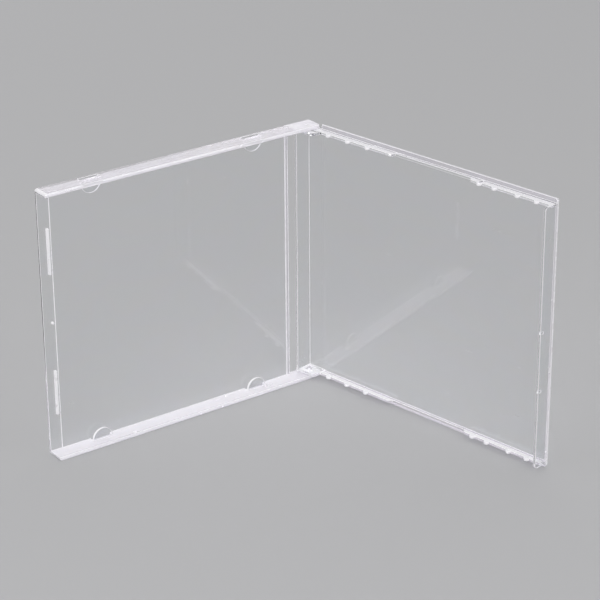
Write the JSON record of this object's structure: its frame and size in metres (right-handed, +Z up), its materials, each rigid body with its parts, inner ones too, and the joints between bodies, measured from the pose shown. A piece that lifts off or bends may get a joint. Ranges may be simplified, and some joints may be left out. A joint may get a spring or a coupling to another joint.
{
  "type": "cd jewel case",
  "caption": "Clear hinged disc case standing open on its edge, with a front cover on hinge arms and a back cover with rails, for a disc and a booklet.",
  "frame": {"origin": "point on the table under the middle of the standing case's bounds", "axes": "+X along the back cover's width from its spine to its opening edge, -Y out of the back cover's inner face, +Z up the spine"},
  "size_m": [0.1668, 0.1414, 0.125],
  "materials": {
    "back_cover": "clear, polished",
    "front_cover": "clear, polished"
  },
  "bodies": {
    "base": {"base": "back_cover"},
    "lid": {"lid": "front_cover"}
  },
  "joints": [
    {"name": "hinge", "type": "hinge", "parent": "base", "child": "lid", "pos_m": [-0.05433, 0.06552, 0.0625], "axis": [0, 0, 1], "range_deg": [-80, 100]}
  ]
}
